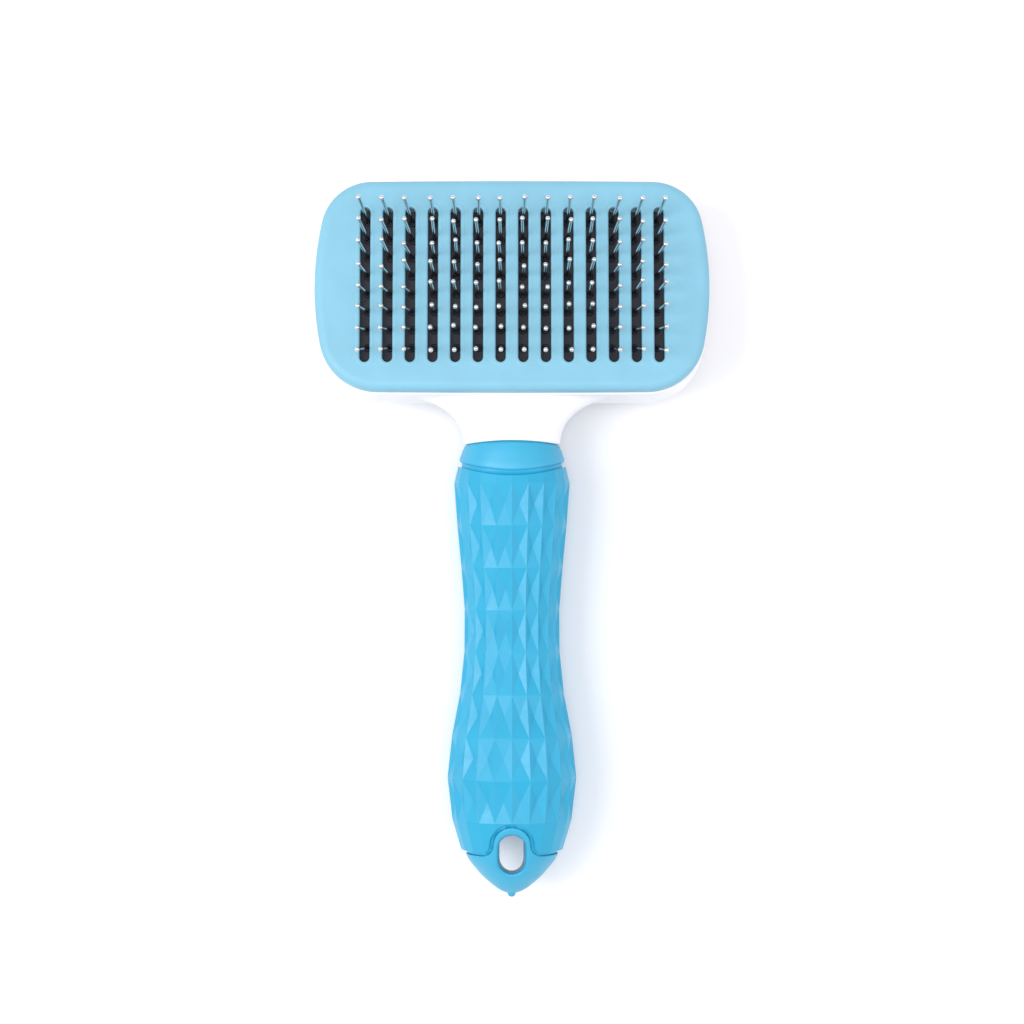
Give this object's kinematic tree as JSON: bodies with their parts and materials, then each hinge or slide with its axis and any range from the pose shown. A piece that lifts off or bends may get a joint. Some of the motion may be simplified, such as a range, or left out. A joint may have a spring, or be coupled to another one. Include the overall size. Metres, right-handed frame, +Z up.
{
  "type": "slicker brush",
  "caption": "Self-cleaning slicker brush for pets: ball-tipped wire pins stand through a slotted face plate that a back button pushes out, on a faceted grip.",
  "frame": {"origin": "centre of the bounding box at its lowest point, the surface the brush lies on", "axes": "+Y along the brush from the hanging slot to the head, +Z up, the way the pins point, X across the head"},
  "size_m": [0.1064, 0.194, 0.0446],
  "materials": {
    "plate_blue": "fine satin texture",
    "white_shell": "smooth semi-gloss",
    "black_base": "matt",
    "pin_steel": "polished wire",
    "handle_blue": "satin",
    "grip_rubber": "soft satin rubber",
    "button_blue": "satin",
    "grey_plastic": "moulded",
    "screw_steel": "zinc plated",
    "spring_steel": "drawn wire"
  },
  "bodies": {
    "brush": {"head_housing": "white_shell", "rear_cover": "white_shell", "pin_base": "black_base", "pin_backing_plate": "black_base", "pin_column_01": "pin_steel", "pin_column_02": "pin_steel", "pin_column_03": "pin_steel", "pin_column_04": "pin_steel", "pin_column_05": "pin_steel", "pin_column_06": "pin_steel", "pin_column_07": "pin_steel", "pin_column_08": "pin_steel", "pin_column_09": "pin_steel", "pin_column_10": "pin_steel", "pin_column_11": "pin_steel", "pin_column_12": "pin_steel", "pin_column_13": "pin_steel", "pin_column_14": "pin_steel", "pin_pack_screws": "screw_steel", "cover_screws": "screw_steel", "collar": "handle_blue", "grip_sleeve": "grip_rubber", "end_cap": "handle_blue", "return_spring_left": "spring_steel", "return_spring_right": "spring_steel"},
    "pusher": {"face_plate": "plate_blue", "pusher_yoke": "grey_plastic", "push_button": "button_blue", "plate_screws": "screw_steel", "button_screws": "screw_steel"}
  },
  "joints": [
    {"name": "plate_slide", "type": "slide", "parent": "brush", "child": "pusher", "axis": [0, 0.1564, 0.9877], "range_m": [0, 0.007], "stiffness_N_per_m": 400, "springref_m": -0.01, "deforming": ["return_spring_left", "return_spring_right"]}
  ]
}
